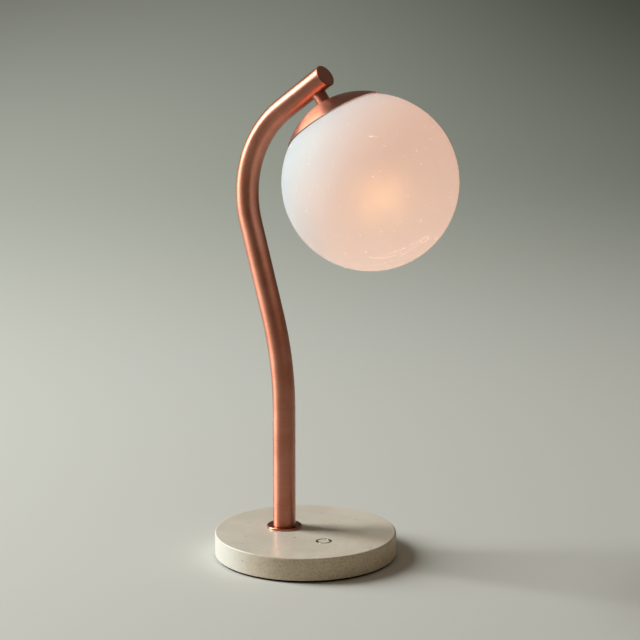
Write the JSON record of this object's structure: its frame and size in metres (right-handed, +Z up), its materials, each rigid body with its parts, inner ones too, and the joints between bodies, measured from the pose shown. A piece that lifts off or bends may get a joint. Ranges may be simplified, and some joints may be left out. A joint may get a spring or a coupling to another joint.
{
  "type": "table lamp",
  "caption": "Cordless table lamp: an opal glass globe under a shallow copper dome, hung from a bent copper tube on a round stone base with a touch ring.",
  "frame": {"origin": "centre of the base's resting face, on the table", "axes": "+Z up, +X from the foot of the tube towards the globe, the tube bends in the XZ plane"},
  "size_m": [0.2218, 0.16, 0.4353],
  "materials": {
    "limestone": "honed, softly polished top",
    "pad_rubber": "matt",
    "steel": "zinc plated",
    "brass": "turned",
    "tray_plastic": "moulded",
    "battery_wrap": "shrink wrap",
    "foam": "closed-cell foam",
    "circuit_board": "solder mask",
    "brushed_copper": "brushed copper plate, satin",
    "copper_trim": "polished copper",
    "indicator_plastic": "smoked light pipe",
    "cast_aluminium": "turned",
    "led_board_white": "white solder mask",
    "diffuser_opal": "opal, lit from inside",
    "silicone": "translucent",
    "lead_silicone": "satin",
    "opal_glass": "satin opal with a few seeds"
  },
  "bodies": {
    "stand": {"stone_base": "limestone", "foot_pad": "pad_rubber", "base_plate": "steel", "plate_screws": "steel", "plate_inserts": "brass", "inner_tray": "tray_plastic", "battery_pack": "battery_wrap", "battery_foam": "foam", "control_board": "circuit_board", "charge_board": "circuit_board", "board_screws": "steel", "charging_socket": "steel", "socket_bezel": "copper_trim", "touch_ring": "copper_trim", "touch_contact": "steel", "indicator_lens": "indicator_plastic", "stem_tube": "brushed_copper", "foot_flange": "brushed_copper", "stem_insert": "steel", "stem_washer": "steel", "stem_nut": "steel", "tail_grommet": "pad_rubber", "end_plug": "brushed_copper", "neck_tube": "brushed_copper", "nipple": "brass", "shade_cap": "brushed_copper", "nipple_nuts": "brass", "gallery": "cast_aluminium", "gallery_gasket": "silicone", "led_post": "cast_aluminium", "led_board": "led_board_white", "led_screws": "steel", "led_diffuser": "diffuser_opal", "lamp_lead": "lead_silicone", "battery_leads": "lead_silicone", "charge_leads": "lead_silicone"},
    "globe": {"glass_globe": "opal_glass"}
  },
  "joints": [
    {"name": "globe_draw", "type": "slide", "parent": "stand", "child": "globe", "axis": [0.5948, 0, -0.8039], "range_m": [0, 0.106]}
  ]
}
